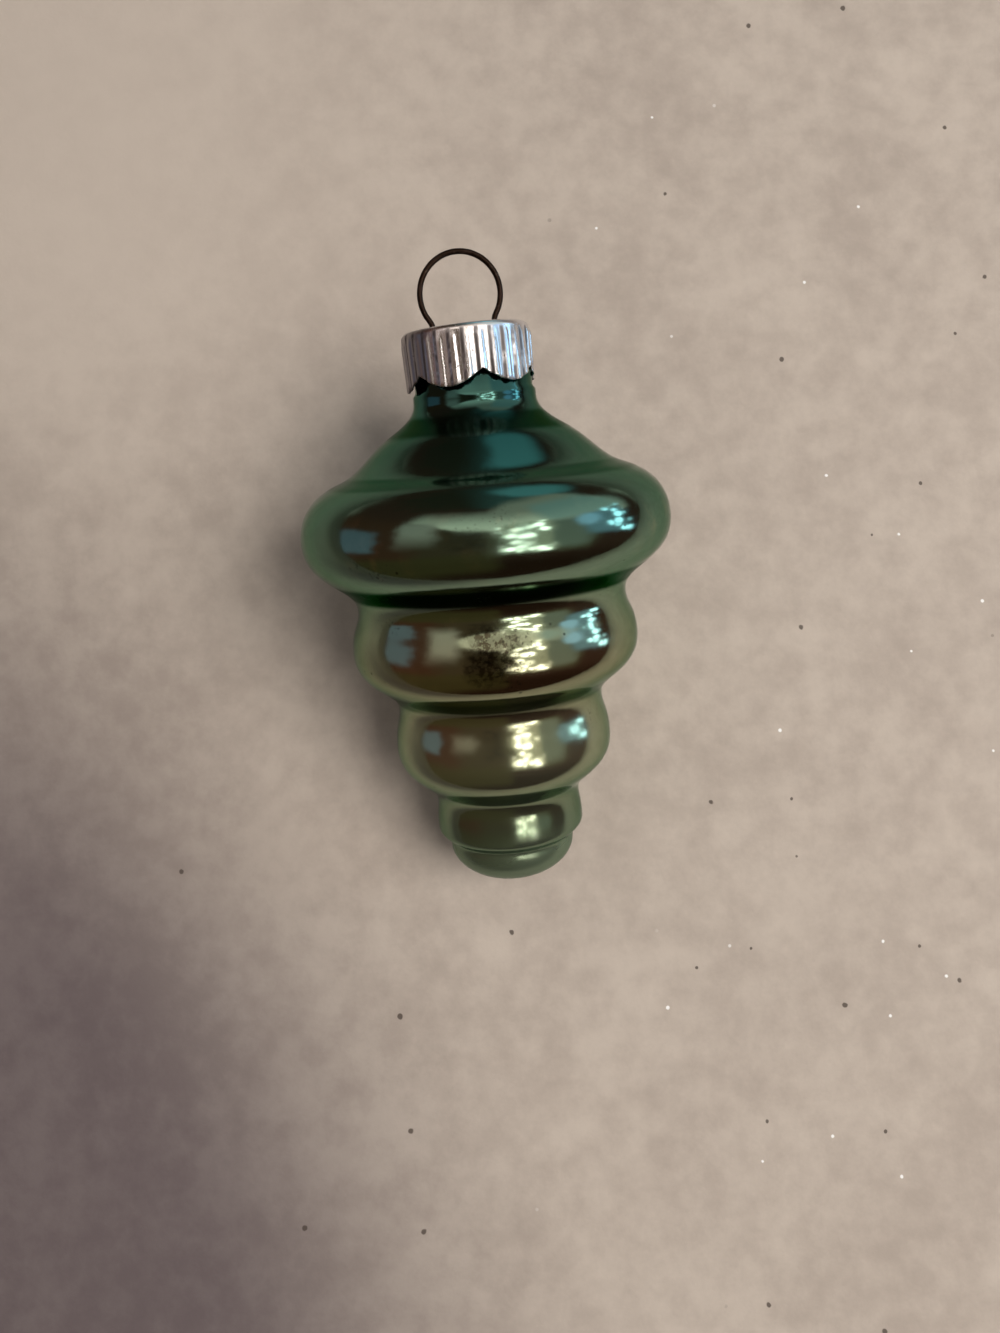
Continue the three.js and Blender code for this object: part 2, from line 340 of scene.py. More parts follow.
def silvered_glass():
    """Green lacquer over silver: teal at the neck, sage and olive on the rings, worn and crackled."""
    material, start, place = new_material("lacquered_silver")
    x, _, z = parts_of(place)
    drift = start.noise(place, 55.0, detail=2.0)
    cloud = start.noise(place, 260.0, detail=4.0, roughness=0.6)
    height = z + (drift - 0.5) * (5 * MM)
    along = (height + 82 * MM) / (66 * MM)
    lacquer = start.node("ShaderNodeValToRGB", {"stops": LACQUER}, {"Fac": along})
    rings = height.between(-26 * MM, -34 * MM) * height.between(-72 * MM, -60 * MM)
    thin = cloud.between(0.52, 0.78) * drift.between(0.40, 0.62) * rings
    lacquer = start.blend(thin * 0.6, lacquer, THIN_LACQUER)

    # painted shade: the lacquer is darkened in bands under the upper rings, in the crease and at the foot of
    # the neck, where it is also rougher and less coated
    crease_shade = 0.0
    for middle, reach, share in CREASE_SHADE_BANDS:
        band = start.math("ABSOLUTE", z - middle * MM).between(reach * MM, reach * 0.5 * MM)
        crease_shade = start.math("MAXIMUM", crease_shade, band * share)
    lacquer = start.blend(crease_shade, lacquer, CREASE_SHADE_COLOUR)

    # a dull patch on the second ring's front, where dark specks show through
    front = start.node("ShaderNodeVectorMath", {"operation": "DISTANCE"}, {0: place, 1: WORN_SPOT}, output=1)
    worn = (front + (cloud - 0.5) * (7 * MM)).between(3.9 * MM, 1.5 * MM)
    speckle = start.noise(place, 1500.0, detail=4.0, roughness=0.7)
    lacquer = start.blend(worn * (0.55 + speckle.between(0.46, 0.56) * 0.4), lacquer, WORN_LACQUER)

    # tarnish where the silver has lifted, as dark specks in patches
    fine = start.noise(place, 2400.0, detail=2.0, roughness=0.6)
    patch = start.noise(place, 120.0, detail=2.0).between(0.58, 0.74) * rings
    specks = fine.between(0.60, 0.66) * patch
    around = front.between(6.5 * MM, 3.5 * MM) * x.between(-1.5 * MM, 1.5 * MM)
    rubbed = speckle.between(0.57, 0.63) * around
    dots = start.node("ShaderNodeTexVoronoi", {}, {"Vector": place, "Scale": 420.0, "Randomness": 1.0})
    dots = dots.between(0.09, 0.05) * start.noise(place, 90.0).between(0.47, 0.6) * rings
    tarnish = start.math("MAXIMUM", start.math("MAXIMUM", specks, rubbed), dots)
    colour = start.blend(tarnish * 0.85, lacquer, TARNISH)

    # the bare seat under the cap, with a ragged edge of lacquer
    ragged = z + (start.noise(place, 900.0, detail=3.0) - 0.5) * (0.9 * MM)
    seat = ragged.between(SEAT_EDGE - 0.2 * MM, SEAT_EDGE + 0.2 * MM)
    edge = ragged.between(SEAT_EDGE - 0.9 * MM, SEAT_EDGE - 0.4 * MM)
    edge = edge * ragged.between(SEAT_EDGE + 0.4 * MM, SEAT_EDGE)
    colour = start.blend(edge * 0.9, colour, LACQUER_EDGE)
    colour = start.blend(seat, colour, BARE_SILVER)

    # crackled silver breaks up what it reflects, and it is duller towards the tip
    cells = start.node("ShaderNodeTexVoronoi", {}, {"Vector": place, "Scale": 850.0, "Randomness": 1.0})
    broken = start.noise(place, 150.0, detail=2.0).between(0.47, 0.62)
    ripple = start.noise(place, 330.0, detail=2.0)
    relief = cells * broken * 0.10 + ripple * 0.35 + start.noise(place, 2600.0) * 0.025
    normal = start.node("ShaderNodeBump", {}, {"Strength": 1.0, "Distance": 0.06 * MM, "Height": relief})
    satin = height.between(-50 * MM, -62 * MM)
    matt = height.between(-69.5 * MM, -79 * MM)
    roughness = 0.10 + broken * 0.05 + satin * 0.03 + matt * 0.20 + tarnish * 0.12 + crease_shade * 0.12 + seat * 0.2
    surface(start, {
        "Base Color": colour, "Metallic": 1.0 - satin * 0.05 - matt * 0.28,
        "Roughness": roughness, "Normal": normal, "Specular Tint": (0.30, 0.45, 0.34, 1),
        "Coat Weight": 0.35 - crease_shade * 0.35, "Coat Roughness": 0.04, "Coat IOR": 1.4,
    })
    return material


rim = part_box("glass_body")[1].z
wall_top = rim - GLASS_WALL / 2
outside = wall_line(steps=16, depth=0, top=wall_top)
inside = wall_line(steps=5, depth=GLASS_WALL, top=wall_top)
rounded_rim = round_end(inside[-1], outside[-1])
turned = turning_tree()
glass = line_piece("blown_glass", [*outside, *reversed(rounded_rim), *reversed(inside)])
shape(glass, turned, segments=256, wander=0.03 * MM, material=silvered_glass())
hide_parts("glass_body")
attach(glass, "glass")


# The silver lining is a film of silver deposited on the inner face of the glass. It shows only down the
# open neck, once the cap is off, where it has dulled and spotted.
FILM_FRONT = 0.9 * MM
FILM_BACK = 1.2 * MM
FILM_DULL = (0.66, 0.66, 0.62)
FILM_BRIGHT = (0.82, 0.82, 0.80)
FILM_SPOT = (0.12, 0.10, 0.08)


def silver_film():
    """Bare silver, clouded and spotted with age."""
    material, start, place = new_material("silver_film")
    cloud = start.noise(place, 400.0, detail=4.0, roughness=0.6)
    spots = start.noise(place, 2200.0, detail=2.0).between(0.62, 0.68)
    colour = start.blend(cloud.between(0.35, 0.7), FILM_DULL, FILM_BRIGHT)
    colour = start.blend(spots * 0.8, colour, FILM_SPOT)
    normal = start.node("ShaderNodeBump", {}, {"Strength": 1.0, "Distance": 0.03 * MM, "Height": cloud})
    roughness = 0.18 + cloud * 0.12 + spots * 0.3
    surface(start, {"Base Color": colour, "Metallic": 1.0, "Roughness": roughness, "Normal": normal})
    return material


film_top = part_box("silver_lining")[1].z
film_outside = wall_line(steps=6, depth=FILM_FRONT, top=film_top)
film_inside = wall_line(steps=6, depth=FILM_BACK, top=film_top)
lining = line_piece("silver_film", [*film_outside, *reversed(film_inside)])
shape(lining, turned, segments=96, material=silver_film())
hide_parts("silver_lining")
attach(lining, "glass")


# The cap is thin bright metal pressed to a cup, fluted round its skirt and cut to scallops at its edge.
# It slips over the neck, and the wire's two legs go through the holes punched in its top.
CAP_SHEET = 0.25 * MM
CAP_INSIDE_RADIUS = 7.6 * MM
CAP_CORNER = 0.75 * MM
FLUTES = 30
HOLE_RADIUS = 0.65 * MM
LEG_X = 3.8 * MM
LEAN = 0.033
LEAN_PIVOT = -26 * MM
PUNCH_SIDES = 34
PUNCH_DEPTH = 1.5 * MM
PUNCH_WELD = 0.004 * MM
CAP_SHADE = (0.84, 0.85, 0.90)
CAP_BRIGHT = (0.94, 0.94, 0.97)
CAP_LEFT_SHADE = (0.20, 0.175, 0.185)
CAP_DIRT_AND_SHADE = (0.10, 0.088, 0.095)
cap_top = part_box("metal_cap")[1].z
cap_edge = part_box("metal_cap")[0].z
cap_corner = cap_top - CAP_CORNER


def cap_line():
    """The cap's section: out along the underside, down the skirt, round its edge and back over the top."""
    outer = CAP_INSIDE_RADIUS + CAP_SHEET
    middle = outer - CAP_CORNER
    edge = cap_edge + CAP_SHEET / 2
    steps = 8
    corner_turns = [UPRIGHT * i / steps for i in range(1, steps + 1)]
    points = [Vector((middle * i / steps, 0, cap_top - CAP_SHEET)) for i in range(steps + 1)]
    reach = CAP_CORNER - CAP_SHEET
    for turn in corner_turns:
        points.append(Vector((middle + reach * math.sin(turn), 0, cap_corner + reach * math.cos(turn))))
    skirt = 2 * steps
    for i in range(1, skirt + 1):
        points.append(Vector((CAP_INSIDE_RADIUS, 0, cap_corner + (edge - cap_corner) * i / skirt)))
    under = [math.pi * (1 + i / 4) for i in range(1, 4)]
    rounding = Vector((CAP_INSIDE_RADIUS + CAP_SHEET / 2, 0, edge))
    points += [rounding + Vector((math.cos(t), 0, math.sin(t))) * (CAP_SHEET / 2) for t in under]
    points += [Vector((outer, 0, edge + (cap_corner - edge) * i / skirt)) for i in range(skirt + 1)]
    reach = CAP_CORNER
    for turn in corner_turns:
        points.append(Vector((middle + reach * math.cos(turn), 0, cap_corner + reach * math.sin(turn))))
    return points + [Vector((middle * (1 - i / steps), 0, cap_top)) for i in range(1, steps + 1)]


def crimping_tree():
    """Turns the cap's section, presses its flutes, lifts its edge to scallops and punches its holes."""
    tree, wires = new_tree("crimped_cap", [
        ("Segments", "NodeSocketInt", 720), ("Flutes", "NodeSocketInt", FLUTES),
        ("Flute depth", "NodeSocketFloat", 0.25 * MM), ("Scallops", "NodeSocketInt", 6),
        ("Scallop depth", "NodeSocketFloat", 1.7 * MM), ("Notch angle", "NodeSocketFloat", 0.21),
        ("Edge", "NodeSocketFloat", 0.0), ("Corner", "NodeSocketFloat", 0.0), ("Top", "NodeSocketFloat", 0.0),
        ("Wear", "NodeSocketFloat", 0.0), ("Lean", "NodeSocketFloat", 0.0), ("Pivot", "NodeSocketFloat", 0.0),
        ("Hole radius", "NodeSocketFloat", HOLE_RADIUS), ("Leg x", "NodeSocketFloat", LEG_X),
        ("Material", "NodeSocketMaterial", None)
    ])
    grid, angle, place = turned_place(wires)
    radius, _, height = parts_of(place)
    up_skirt = (height - wires["Edge"]) / (wires["Corner"] - wires["Edge"])
    up_skirt = grid.node("ShaderNodeClamp", {}, {"Value": up_skirt})
    up_corner = (height - wires["Corner"]) / (wires["Top"] - wires["Corner"])
    up_corner = grid.node("ShaderNodeClamp", {}, {"Value": up_corner})
    flute = grid.math("COSINE", angle * wires["Flutes"]).between(-0.85, 0.85) * wires["Flute depth"]

    # handling has bent the soft skirt all round, and squeezed its flutes deeper here and there on the left
    round_skirt = grid.node("ShaderNodeCombineXYZ", {}, {
        "X": grid.math("SINE", angle), "Y": grid.math("COSINE", angle), "Z": height * 60.0
    })
    bent = (grid.noise(round_skirt, 2.6, detail=2.0) - 0.5) * wires["Wear"] * (1.0 - up_corner)
    bent = bent * radius.between(2 * MM, 5 * MM)
    knocked = grid.noise(round_skirt, 1.1, detail=1.0).between(0.3, 0.55)
    knocked = knocked * grid.math("SINE", angle).between(-0.95, -0.55)
    flute = flute * up_skirt.between(1.0, 0.86)
    radius = radius + flute * (0.45 + knocked * 0.55) + bent
    lobe = grid.math("ABSOLUTE", grid.math("SINE", (angle - wires["Notch angle"]) * wires["Scallops"] * 0.5))
    lift = wires["Scallop depth"] * (1.0 - lobe) * (1.0 - up_skirt)
    cup = whole_turn(grid, angle, radius, height + lift)
    size = {"Vertices": PUNCH_SIDES, "Radius": wires["Hole radius"], "Depth": PUNCH_DEPTH}
    punch = cup.node("GeometryNodeMeshCylinder", {}, size)
    punches = cup.node("GeometryNodeJoinGeometry", {}, {})
    join = punches.socket.node
    for side in (-1.0, 1.0):
        spot = cup.node("ShaderNodeCombineXYZ", {}, {"X": wires["Leg x"] * side, "Z": wires["Top"]})
        moved = cup.node("GeometryNodeTransform", {}, {"Geometry": punch, "Translation": spot})
        tree.links.new(moved.socket, join.inputs["Geometry"])
    holed = cup.node("GeometryNodeMeshBoolean", {"operation": "DIFFERENCE"}, {"Mesh 1": cup, "Mesh 2": punches})
    holed = holed.node("GeometryNodeMergeByDistance", {}, {"Geometry": holed, "Distance": PUNCH_WELD})

    # the whole cap has slipped to a slight lean on the neck
    x, _, z = parts_of(holed.node("GeometryNodeInputPosition", {}, {}))
    tip = holed.node("ShaderNodeCombineXYZ", {}, {
        "X": (wires["Pivot"] - z) * wires["Lean"], "Y": 0.0, "Z": x * wires["Lean"]
    })
    leaning = holed.node("GeometryNodeSetPosition", {}, {"Geometry": holed, "Offset": tip})
    smooth = leaning.node("GeometryNodeSetShadeSmooth", {}, {"Geometry": leaning})
    end_tree(tree, smooth, wires["Material"])
    return tree


def bright_metal():
    """Bright soft metal with drawn scratches up the skirt, grime and painted shade down in the flutes, spots of
    tarnish, darker patches along its lower edge and painted shade on its left side.
    """
    material, start, place = new_material("bright_cap")
    x, y, z = parts_of(place)
    angle = start.math("ARCTAN2", x, y * -1.0)
    groove = (1.0 - start.math("COSINE", angle * FLUTES)) * 0.5
    skirt = z.between(cap_top - 0.3 * MM, cap_corner)
    cloud = start.noise(place, 500.0, detail=4.0, roughness=0.6)
    # grime and painted shade darken the grooves of the flutes on the skirt
    flute_grime_and_shade = groove.between(0.60, 1.0) * skirt * cloud.between(0.30, 0.55)
    rub = start.node("ShaderNodeCombineXYZ", {}, {"X": angle * 0.3, "Y": 0.0, "Z": z})
    scratch = start.noise(rub, 700.0, detail=5.0, roughness=0.7)
    spots = start.noise(place, 1500.0, detail=2.0).between(0.66, 0.72)
    low_edge = z.between(cap_edge + 0.9 * MM, cap_edge + 0.1 * MM)
    colour = start.blend(cloud.between(0.3, 0.7), CAP_SHADE, CAP_BRIGHT)
    # painted shade: the left side of the cap is darkened and made rougher
    left_side_shade = (x + (cloud - 0.5) * MM).between(-3.8 * MM, -5.6 * MM)
    colour = start.blend(left_side_shade * 0.8, colour, CAP_LEFT_SHADE)
    # the darkening gathers the flutes' grime and painted shade, tarnish spots and darker patches along the
    # lower edge
    dirt_and_shade = start.math("MAXIMUM", flute_grime_and_shade * 0.85, spots * 0.6)
    dirt_and_shade = start.math("MAXIMUM", dirt_and_shade, low_edge * cloud.between(0.45, 0.6) * 0.7)
    colour = start.blend(dirt_and_shade, colour, CAP_DIRT_AND_SHADE)
    relief = scratch * 0.5 + cloud * 0.5
    normal = start.node("ShaderNodeBump", {}, {"Strength": 1.0, "Distance": 0.02 * MM, "Height": relief})
    roughness = 0.16 + scratch * 0.12 + dirt_and_shade * 0.35 + left_side_shade * 0.12
    surface(start, {"Base Color": colour, "Metallic": 1.0, "Roughness": roughness, "Normal": normal})
    return material


cap = line_piece("crimped_cap", cap_line())
shape(
    cap, crimping_tree(), edge=cap_edge, corner=cap_corner, top=cap_top, wear=0.10 * MM, lean=LEAN,
    pivot=LEAN_PIVOT, notch_angle=math.radians(12), hole_radius=HOLE_RADIUS, leg_x=LEG_X,
    material=bright_metal(),
)
cap.data.set_sharp_from_angle(angle=math.radians(50))
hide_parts("metal_cap")
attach(cap, "cap")


# The hanger is one length of spring wire bent to a round loop, with two legs that go down through the cap
# and spread inside the neck. The steel has browned with age.
WIRE_RADIUS = 0.35 * MM
LOOP_RADIUS = 4.9 * MM
LOOP_CENTRE = -4.55 * MM
LOOP_END = math.radians(24)
STEEL = (0.030, 0.019, 0.014)
RUST = (0.028, 0.012, 0.007)
RUBBED_STEEL = (0.10, 0.08, 0.07)


def wire_line():
    """The middle line of the wire, from one leg's foot round the loop to the other's."""
    end_x = LOOP_RADIUS * math.cos(LOOP_END)
    end_z = LOOP_CENTRE - LOOP_RADIUS * math.sin(LOOP_END)
    leg_top = end_z - 1.5 * MM
    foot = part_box("wire_hanger")[0].z
    foot_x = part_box("wire_hanger")[1].x - WIRE_RADIUS
    splay_end = foot + 2 * MM
    straight_end = splay_end + 5 * MM
    lean = Vector((-math.sin(LOOP_END), 0, -math.cos(LOOP_END))) * 0.5 * MM

    def half(side):
        def at(x, z):
            return Vector((x * side, 0, z))

        line = [at(foot_x, foot + 0.4 * MM * i) for i in range(5)]
        middle = (splay_end + straight_end) / 2
        line += interpolate_bezier(
            at(foot_x, splay_end), at(foot_x, middle), at(LEG_X, middle), at(LEG_X, straight_end), 16)
        line += [at(LEG_X, straight_end + (leg_top - straight_end) * i / 6) for i in range(1, 6)]
        line += interpolate_bezier(
            at(LEG_X, leg_top), at(LEG_X, leg_top + 0.5 * MM), at(end_x + lean.x, end_z + lean.z),
            at(end_x, end_z), 10)
        return line

    sweep, steps = math.pi + 2 * LOOP_END, 64
    loop = []
    for i in range(1, steps):
        turn = math.pi + LOOP_END - sweep * i / steps
        loop.append(Vector((LOOP_RADIUS * math.cos(turn), 0, LOOP_CENTRE + LOOP_RADIUS * math.sin(turn))))
    upright = [*half(-1), *loop, *reversed(half(1))]
    return [point + Vector((LEAN_PIVOT - point.z, 0, point.x)) * LEAN for point in upright]


def wire_tree():
    """Sweeps a round section along a line and closes its ends."""
    tree, wires = new_tree("drawn_wire", [
        ("Radius", "NodeSocketFloat", WIRE_RADIUS), ("Sides", "NodeSocketInt", 16),
        ("Material", "NodeSocketMaterial", None)
    ])
    line = wires["Geometry"]
    path = line.node("GeometryNodeMeshToCurve", {}, {"Mesh": line})
    section = path.node("GeometryNodeCurvePrimitiveCircle", {}, {
        "Resolution": wires["Sides"], "Radius": wires["Radius"]
    })
    tube = path.node("GeometryNodeCurveToMesh", {}, {
        "Curve": path, "Profile Curve": section, "Fill Caps": True
    })
    smooth = tube.node("GeometryNodeSetShadeSmooth", {}, {"Geometry": tube})
    end_tree(tree, smooth, wires["Material"])
    return tree


def browned_steel():
    """Dark brown steel with fine rust and pits, and a little paler where it was rubbed."""
    material, start, place = new_material("browned_steel")
    cloud = start.noise(place, 700.0, detail=5.0, roughness=0.65)
    pits = start.noise(place, 4200.0, detail=2.0)
    rust = cloud.between(0.48, 0.66)
    colour = start.blend(rust, STEEL, RUST)
    colour = start.blend(cloud.between(0.42, 0.32) * 0.6, colour, RUBBED_STEEL)
    relief = pits * 0.6 + cloud * 0.4
    normal = start.node("ShaderNodeBump", {}, {"Strength": 1.0, "Distance": 0.05 * MM, "Height": relief})
    roughness = 0.34 + rust * 0.3
    surface(start, {
        "Base Color": colour, "Metallic": 1.0 - rust * 0.5, "Roughness": roughness, "Normal": normal
    })
    return material


hanger = line_piece("spring_wire", wire_line())
shape(hanger, wire_tree(), material=browned_steel())
hanger.data.set_sharp_from_angle(angle=math.radians(60))
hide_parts("wire_hanger")
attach(hanger, "hanger")


# The paper is the pale warm sheet that the ornament lies against. It meets the rings on their far side, so
# it leans as they taper, and it goes down with the glass when the cap is pulled off.
CONE = math.radians(18.9)
PAPER_SPOT = Vector((0, 23.80 * MM, -32.9 * MM))
PAPER_DULL = (0.446, 0.372, 0.317)
PAPER_PALE = (0.590, 0.504, 0.430)
PAPER_LIT = (0.64, 0.545, 0.465)
SHADE_DULL = (0.140, 0.108, 0.110)
SHADE_PALE = (0.175, 0.140, 0.138)
FAR_PAPER_SHADE = (0.09, 0.065, 0.045)
DARK_GRAIN = (0.07, 0.05, 0.04)
BRIGHT_GRAIN = (1.0, 0.97, 0.95)


def paper(name, dimming):
    """The paper's surface. Painted shade dims it away from the ornament by this share."""
    material, start, place = new_material(name)
    x, _, z = parts_of(place)

    def distance(left, low):
        """How far it is to a place this far to the left and below the origin."""
        off_x, off_z = x + left, z + low
        return start.math("SQRT", off_x * off_x + off_z * off_z)

    # the sheet is mottled, with painted light at the upper left and painted shade at the lower left
    broad = start.noise(place, 45.0, detail=2.0)
    mottle = broad * 0.42 + start.noise(place, 230.0, detail=4.0, roughness=0.6) * 0.58
    fibre = start.noise(place, 900.0, detail=3.0)
    tone = start.blend(mottle.between(0.28, 0.70), PAPER_DULL, PAPER_PALE)
    lit = x.between(20 * MM, -60 * MM) * z.between(-40 * MM, 20 * MM)
    tone = start.blend(lit * 0.8, tone, PAPER_LIT)
    corner = distance(74 * MM, 122 * MM).between(125 * MM, 25 * MM)
    shade = (x * -1.0 - (z + 97 * MM) * 0.45).between(2 * MM, 68 * MM) * corner
    tone = start.blend(shade, tone, start.blend(mottle.between(0.36, 0.64), SHADE_DULL, SHADE_PALE))

    # dust lies as dark specks and a few bright grains, thicker to the right and below
    flat = start.node("ShaderNodeCombineXYZ", {}, {"X": x, "Y": z})

    def grains(scale, reach, share):
        settings = {"voronoi_dimensions": "2D"}
        sockets = {"Vector": flat, "Scale": scale, "Randomness": 1.0}
        size = start.node("ShaderNodeTexVoronoi", settings, sockets) + (fibre - 0.5) * (reach * 1.4)
        chance = start.node("ShaderNodeTexVoronoi", settings, sockets, output=1)
        chance = start.node("ShaderNodeSeparateColor", {}, {"Color": chance})
        few = (chance + x * 3.0 - z).between(1.0 - share, 1.03 - share)
        return size.between(reach, reach * 0.6) * few

    specks = start.math("MAXIMUM", grains(62.0, 0.026, 0.12), grains(120.0, 0.034, -0.12))
    tone = start.blend(specks * 0.85, tone, DARK_GRAIN)
    tone = start.blend(grains(95.0, 0.026, -0.02), tone, BRIGHT_GRAIN)
    # painted shade: the sheet darkens away from the ornament
    far = distance(0.0, 45 * MM).between(50 * MM, 190 * MM)
    tone = start.blend(far * dimming, tone, FAR_PAPER_SHADE)

    # only the side under the ornament is seen, so from behind the eye passes through the sheet
    normal = start.node("ShaderNodeBump", {}, {"Strength": 0.5, "Distance": 0.1 * MM, "Height": fibre})
    sheet = start.node("ShaderNodeBsdfPrincipled", {}, {"Base Color": tone, "Roughness": 0.8, "Normal": normal})
    clear = start.node("ShaderNodeBsdfTransparent", {}, {})
    behind = start.node("ShaderNodeNewGeometry", {}, {}, output="Backfacing")
    both = start.node("ShaderNodeMixShader", {}, {0: behind, 1: sheet, 2: clear})
    start.node("ShaderNodeOutputMaterial", {}, {"Surface": both})
    return material


def stage_piece(name, corners, faces, material):
    """A thing round the ornament that isn't part of it."""
    mesh = bpy.data.meshes.new(name)
    mesh.from_pydata(corners, [], faces)
    mesh.materials.append(material)
    thing = bpy.data.objects.new(name, mesh)
    bpy.context.scene.collection.objects.link(thing)
    return thing


def only_mirrored(piece):
    """Shows a thing round the ornament in its reflections alone."""
    for ray in ("camera", "diffuse", "transmission", "volume_scatter", "shadow"):
        setattr(piece, "visible_" + ray, False)


def on_paper(spot, outline):
    """The corners of an outline on the sheet, in metres across and up from a spot."""
    up = Vector((0, math.sin(CONE), math.cos(CONE)))
    return [spot + Vector((1, 0, 0)) * s + up * t for s, t in outline]


WHOLE_SHEET = ((-1.5, -1.5), (1.5, -1.5), (1.5, 1.5), (-1.5, 1.5))
wide = stage_piece("paper_sheet", on_paper(PAPER_SPOT, WHOLE_SHEET), [(0, 1, 2, 3)], paper("paper", 0.0))
wide.visible_glossy = False

# what the silver mirrors is a smaller sheet, open behind the ornament so that its back shows the room
MIRRORED_EDGE = ((-0.45, -0.17), (0.17, -0.17), (0.17, 0.17), (-0.45, 0.17))
MIRRORED_OPENING = ((-0.005, -0.044), (0.005, -0.044), (0.015, 0.006), (-0.015, 0.006))
lifted = PAPER_SPOT + Vector((0, -math.cos(CONE), math.sin(CONE))) * (0.02 * MM)
corners = on_paper(lifted, MIRRORED_EDGE + MIRRORED_OPENING)
faces = [(i, (i + 1) % 4, (i + 1) % 4 + 4, i + 4) for i in range(4)]
near = stage_piece("paper_in_silver", corners, faces, paper("mirrored_paper", 0.8))
only_mirrored(near)
for sheet in (wide, near):
    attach(sheet, "glass")


# The lamps are soft panels in front: a broad warm one right of the camera and a weaker cool one at the far
# right. What the silver shows is a painted room, a glowing shell seen only in reflections, with painted
# highlights where the two lamps stand, broken up as if seen through leaves.
CENTRE = Vector((0, 0, -38 * MM))


def direction(azimuth, elevation):
    """The way from the ornament to a place this many degrees round from the front and above the level."""
    turn, rise = math.radians(azimuth), math.radians(elevation)
    return Vector((math.sin(turn) * math.cos(rise), -math.cos(turn) * math.cos(rise), math.sin(rise)))


def panel(name, azimuth, elevation, distance, width, height, colour, power):
    """A soft lamp that lights rough surfaces. The silver mirrors the painted room in its place."""
    light = bpy.data.lights.new(name, "AREA")
    light.shape = "RECTANGLE"
    light.size, light.size_y = width, height
    light.color, light.energy = colour, power
    lamp = bpy.data.objects.new(name, light)
    bpy.context.scene.collection.objects.link(lamp)
    away = direction(azimuth, elevation)
    lamp.location = CENTRE + away * distance
    lamp.rotation_mode = "QUATERNION"
    lamp.rotation_quaternion = away.to_track_quat("Z", "Y")
    lamp.visible_glossy = False


panel("warm_panel", 29, 9, 0.70, 0.38, 0.38, (1.0, 0.96, 0.91), 4.05)
panel("cool_panel", 78, 8, 0.60, 0.30, 0.24, (0.75, 0.90, 1.0), 0.45)


